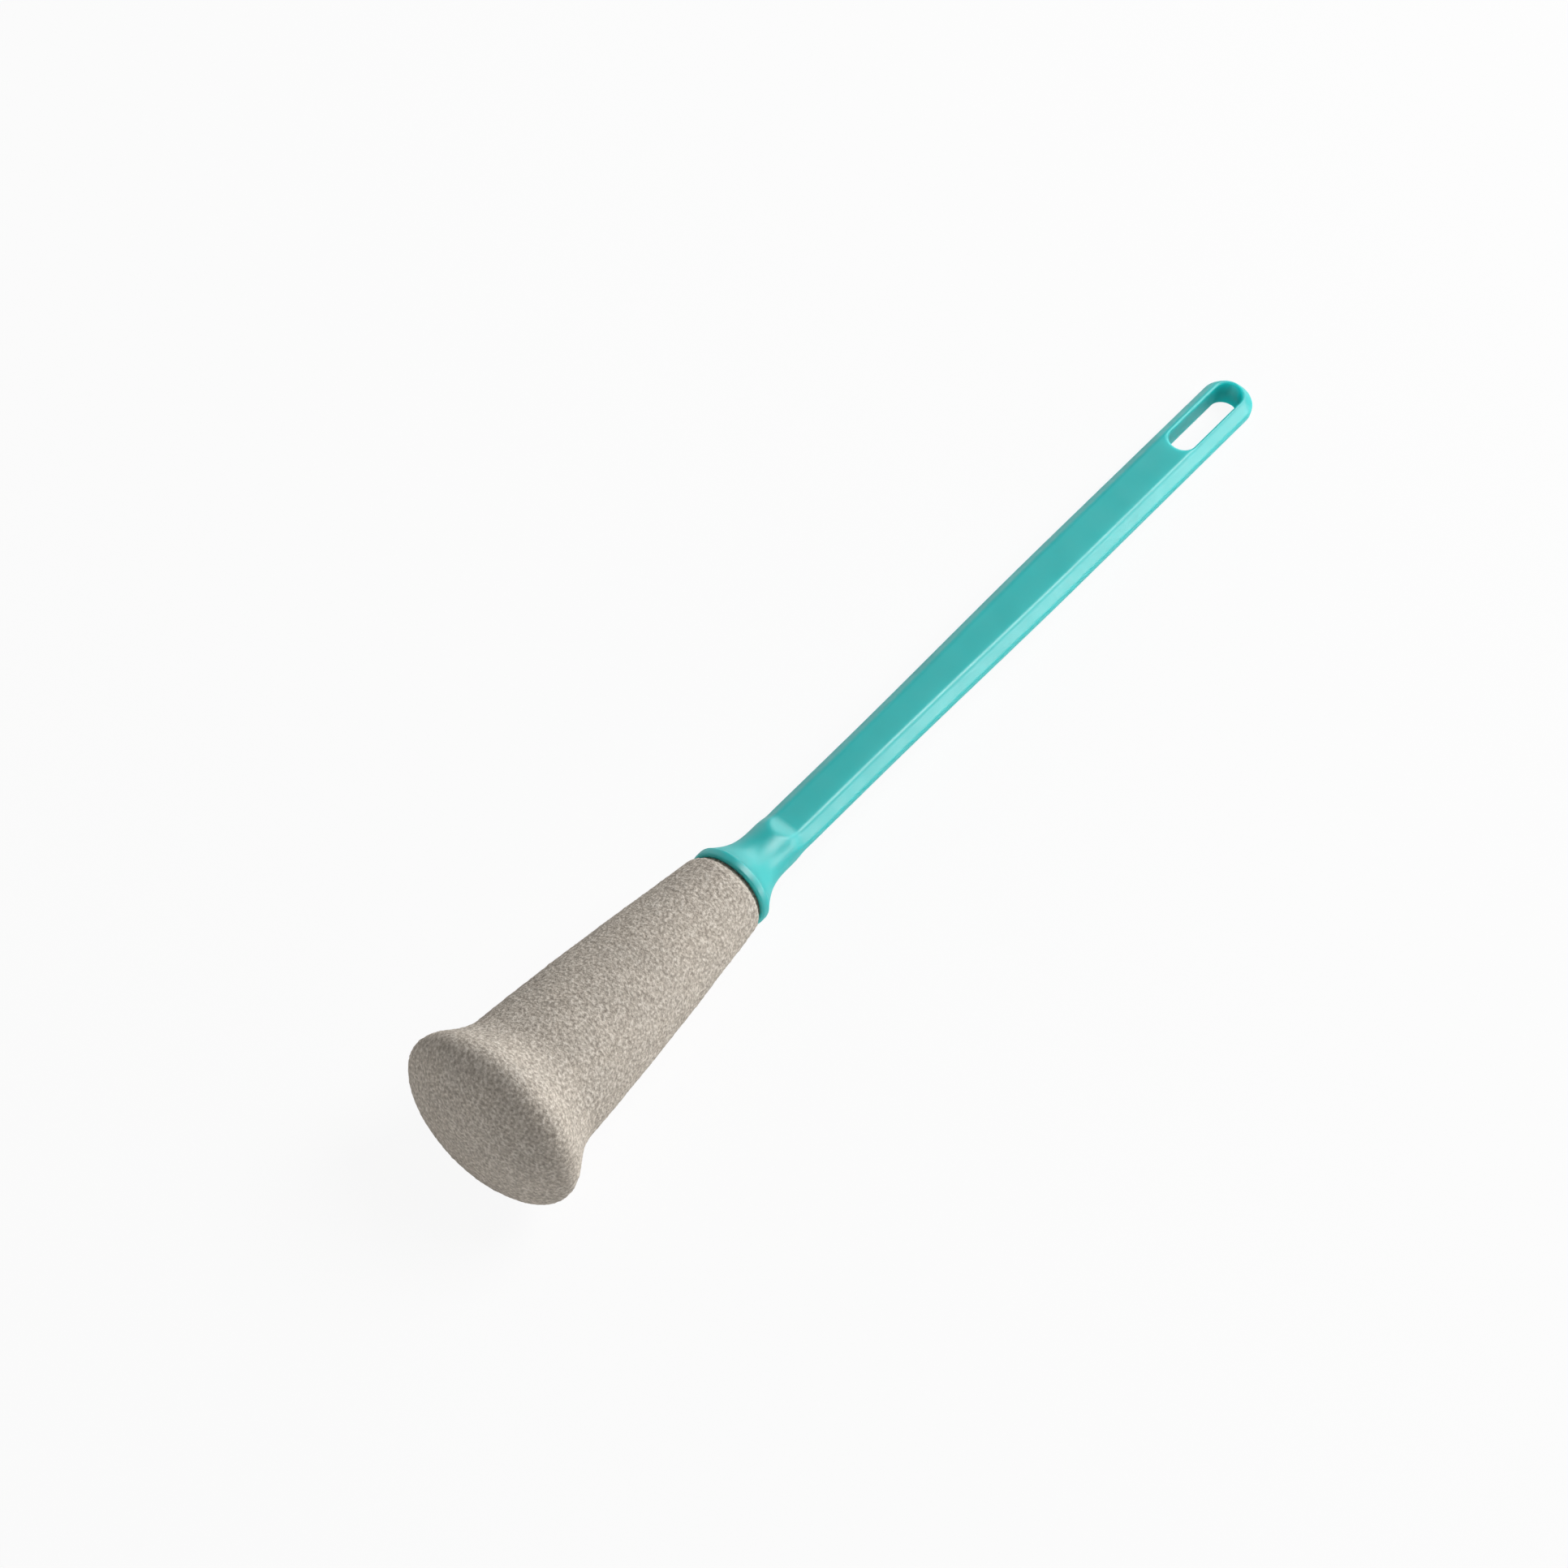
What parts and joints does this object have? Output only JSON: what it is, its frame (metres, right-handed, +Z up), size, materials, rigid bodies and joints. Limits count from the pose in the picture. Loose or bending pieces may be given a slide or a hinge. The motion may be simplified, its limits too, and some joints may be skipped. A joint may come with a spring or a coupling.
{
  "type": "sponge brush",
  "caption": "Long-handled sponge brush: flared foam head on a pull-off core, round flange and neck, and a flat bar handle with bevelled edges and a hanging slot at its tip.",
  "frame": {"origin": "centre of the brush's footprint, on the level surface that it lies on", "axes": "+X towards the handle's tip, +Y across the handle, +Z up; the brush lies on the sponge's bulge and the handle's tip, so its axis slopes down towards +X by 4 degrees"},
  "size_m": [0.2972, 0.0472, 0.0471],
  "materials": {
    "handle_plastic": "gloss",
    "rod_steel": "satin",
    "core_plastic": "satin",
    "foam": "matte"
  },
  "bodies": {
    "handle_body": {"handle": "handle_plastic", "support_rod": "rod_steel"},
    "refill": {"core_sleeve": "core_plastic", "end_disc": "core_plastic", "seat_ring": "core_plastic", "sponge_head": "foam"}
  },
  "joints": [
    {"name": "refill_pull_off", "type": "slide", "parent": "handle_body", "child": "refill", "axis": [-0.9977, 0, 0.0678], "range_m": [0, 0.072]}
  ]
}
